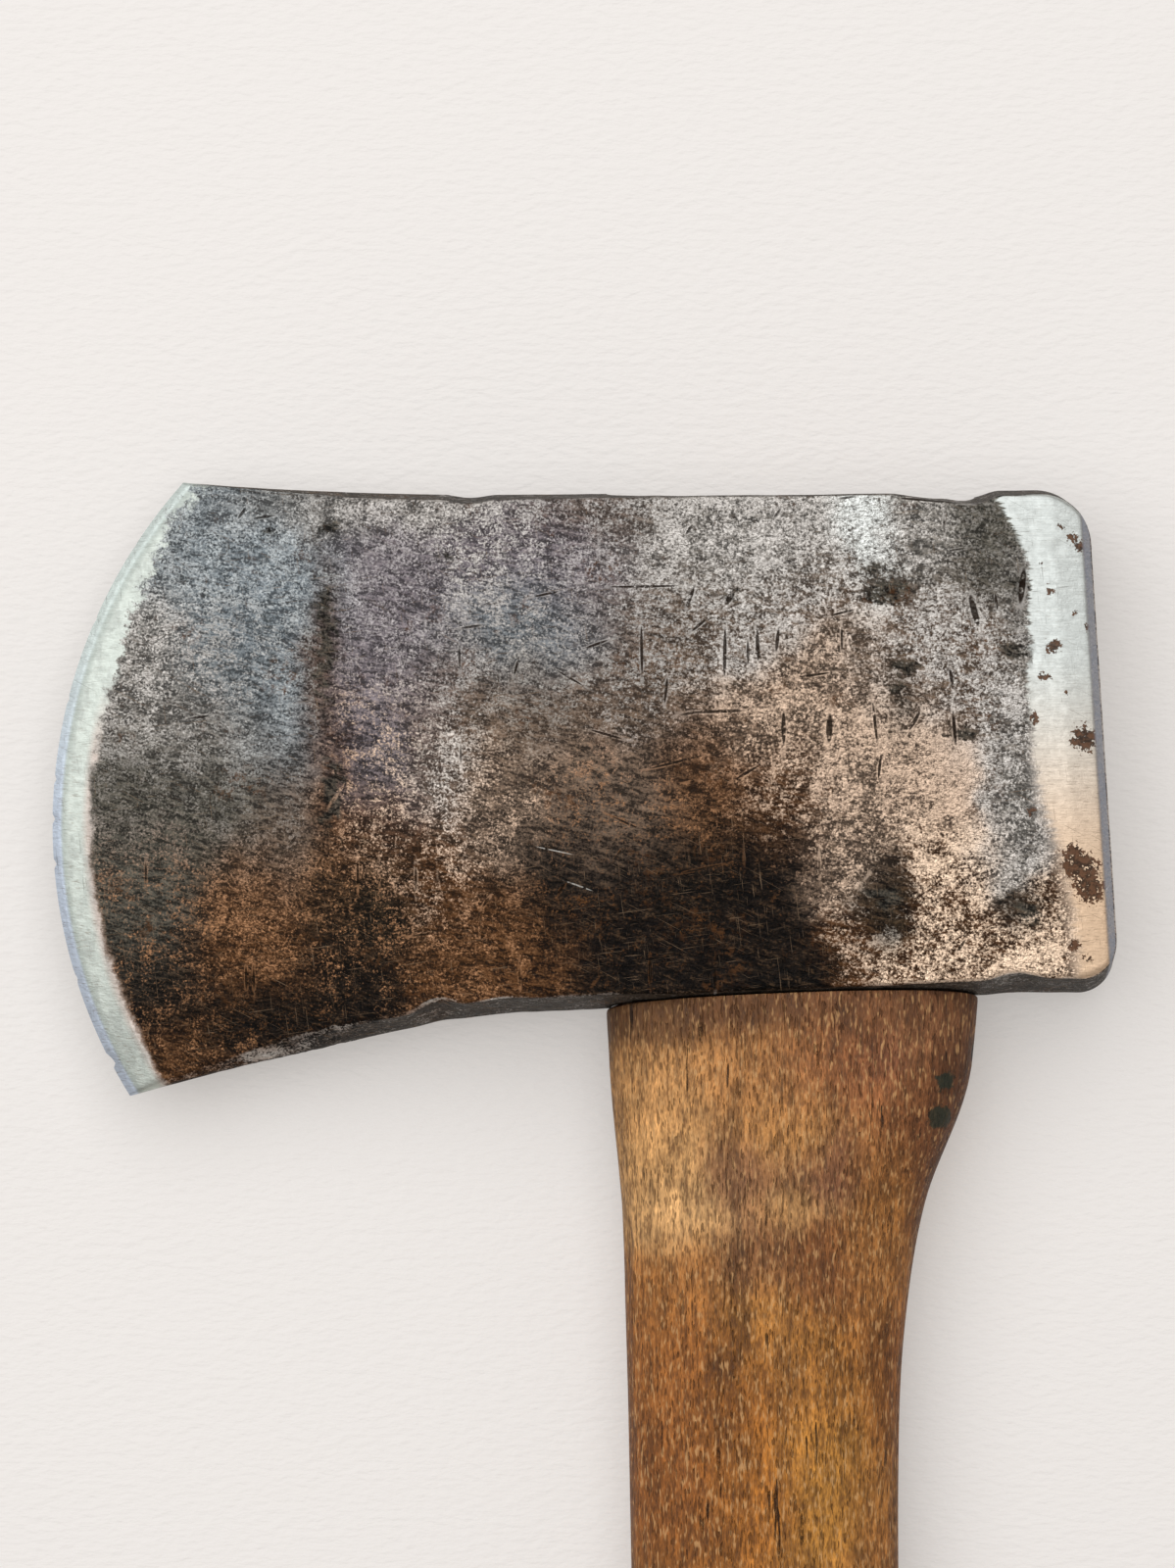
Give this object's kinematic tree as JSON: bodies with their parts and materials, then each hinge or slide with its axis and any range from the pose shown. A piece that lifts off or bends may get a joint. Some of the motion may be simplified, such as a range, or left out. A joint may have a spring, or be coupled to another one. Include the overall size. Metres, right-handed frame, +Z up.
{
  "type": "hatchet",
  "caption": "Hatchet lying flat on one cheek: a forged steel head with a curved bit and a flat poll, wedged on a curved hickory handle.",
  "frame": {"origin": "under the middle of the eye, on the plane of the cheek that the hatchet rests on", "axes": "+X to the poll, +Y to the top of the head with the handle running to -Y, +Z up through the cheeks"},
  "size_m": [0.1406, 0.3564, 0.023],
  "materials": {
    "forged_steel": "drop-forged steel with a dark brown and blue-grey patina, bare ground bands at the bit and poll",
    "hickory": "oiled, darkened and hand-worn",
    "wedge_wood": "raw end grain, grimy",
    "wedge_steel": "rusty mild steel"
  },
  "bodies": {
    "root": {"head": "forged_steel", "handle": "hickory", "wooden_wedge": "wedge_wood", "steel_wedge_front": "wedge_steel", "steel_wedge_rear": "wedge_steel"}
  },
  "joints": []
}
